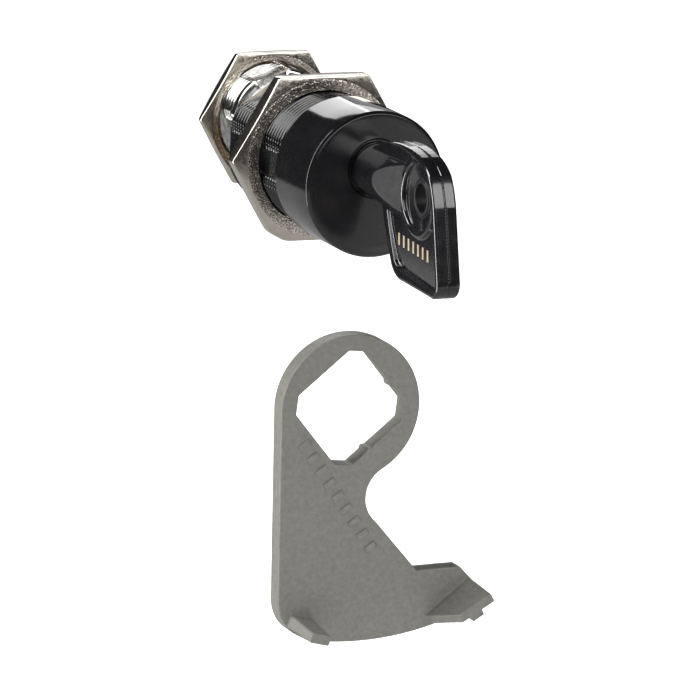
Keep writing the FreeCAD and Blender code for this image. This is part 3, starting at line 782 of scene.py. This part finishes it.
# ---------------------------------------------------------------- floor, light and camera
def build_floor(height):
    side = 6.0
    mesh = bpy.data.meshes.new("floor")
    corners = [(-side, -side, height), (side, -side, height), (side, side, height), (-side, side, height)]
    mesh.from_pydata(corners, [], [(0, 1, 2, 3)])
    floor = bpy.data.objects.new("floor", mesh)
    bpy.context.scene.collection.objects.link(floor)
    m = Nodes("floor_pale", Roughness=0.9, Specular_IOR_Level=0.1)
    m.mixed_colour(m.spread(m.noise(3.0), 0, 1), (0.92, 0.92, 0.92), (0.94, 0.94, 0.94))
    m.shader.inputs["Emission Color"].default_value = (1, 1, 1, 1)
    m.shader.inputs["Emission Strength"].default_value = 0.9
    paint(floor, m.material)
    floor.visible_glossy = False


def softbox(name, azimuth, elevation, distance, width, height, radiance, sideways=0.0, centre=None):
    """Rectangular light that faces the object; azimuth is counted from +Y towards +X."""
    around, raised = math.radians(azimuth), math.radians(elevation)
    level = math.cos(raised)
    towards = Vector((math.sin(around) * level, math.cos(around) * level, math.sin(raised)))
    data = bpy.data.lights.new(name, "AREA")
    data.shape = "RECTANGLE"
    data.size = width
    data.size_y = height
    data.energy = radiance * math.pi * width * height
    lamp = bpy.data.objects.new(name, data)
    aside = Vector((-math.cos(around), math.sin(around), 0))
    lamp.location = (centre or CENTRE) + towards * distance + aside * sideways
    lamp.rotation_euler = (-towards).to_track_quat("-Z", "Y").to_euler()
    lamp.visible_camera = False
    bpy.context.scene.collection.objects.link(lamp)


def build_world():
    """White to the camera; for reflections and fill a dark room above a pale ground."""
    world = bpy.data.worlds.new("studio")
    world.use_nodes = True
    tree = world.node_tree
    direction = tree.nodes.new("ShaderNodeTexCoord").outputs["Generated"]
    parts = tree.nodes.new("ShaderNodeSeparateXYZ")
    tree.links.new(direction, parts.inputs["Vector"])
    ground = tree.nodes.new("ShaderNodeMapRange")
    ground.interpolation_type = "SMOOTHSTEP"
    ground.inputs["From Min"].default_value = -0.27
    ground.inputs["From Max"].default_value = -0.22
    ground.inputs["To Min"].default_value = 0.46
    ground.inputs["To Max"].default_value = 0.025
    tree.links.new(parts.outputs["Z"], ground.inputs["Value"])
    seen = tree.nodes.new("ShaderNodeLightPath").outputs["Is Camera Ray"]
    strength = tree.nodes.new("ShaderNodeMix")
    strength.inputs["B"].default_value = 1.0
    tree.links.new(seen, strength.inputs["Factor"])
    tree.links.new(ground.outputs["Result"], strength.inputs["A"])
    background = tree.nodes["Background"]
    background.inputs["Color"].default_value = (1.0, 1.0, 1.0, 1)
    tree.links.new(strength.outputs["Result"], background.inputs["Strength"])
    bpy.context.scene.world = world


def build_camera():
    """Long lens from the front left, a little above the lock's axis, rolled slightly."""
    azimuth, elevation, roll = math.radians(23.26), math.radians(12.89), math.radians(2.01)
    distance = 0.9645
    target = Vector((-0.0004, -0.0064, -0.0285))
    forward = Vector((math.sin(azimuth) * math.cos(elevation), math.cos(azimuth) * math.cos(elevation),
                      -math.sin(elevation)))
    right = forward.cross(Vector((0, 0, 1))).normalized()
    up = right.cross(forward)
    turned_right = right * math.cos(roll) + up * math.sin(roll)
    turned_up = up * math.cos(roll) - right * math.sin(roll)
    data = bpy.data.cameras.new("camera")
    data.lens = 308.6
    data.sensor_width = 36.0
    data.clip_start = 0.05
    data.clip_end = 50.0
    camera = bpy.data.objects.new("camera", data)
    axes = Matrix((turned_right, turned_up, -forward)).transposed()
    camera.matrix_world = Matrix.Translation(target - forward * distance) @ axes.to_4x4()
    bpy.context.scene.collection.objects.link(camera)
    bpy.context.scene.camera = camera


CENTRE = (Vector(cad_box[0]) + Vector(cad_box[1])) / 2
FLOOR_GAP = 0.12             # the object hangs this far above the floor
build_floor(cad_box[0][2] - FLOOR_GAP)
build_world()
FACE_CENTRE = Vector((0, FACE_Y, 0))
# azimuth, elevation, distance, width, height, radiance
softbox("backdrop_softbox", 9.5, 25.0, 1.2, 0.43, 0.36, 2.8)
softbox("front_softbox", 174.0, 33.5, 1.1, 1.75, 0.62, 4.4)
softbox("side_backdrop", 24.0, 26.5, 1.2, 0.21, 0.40, 2.0)
softbox("low_backdrop", 23.0, 11.0, 1.2, 0.38, 0.20, 0.5)
softbox("left_softbox", -77.0, 15.0, 0.9, 0.37, 1.8, 13.0)
softbox("face_card", 156.7, -12.9, 0.35, 0.15, 0.10, 0.9, sideways=0.0755, centre=FACE_CENTRE)
softbox("facet_card", -58.0, -5.0, 0.5, 0.18, 0.18, 0.65)
build_camera()
bpy.context.scene.view_settings.view_transform = "Standard"
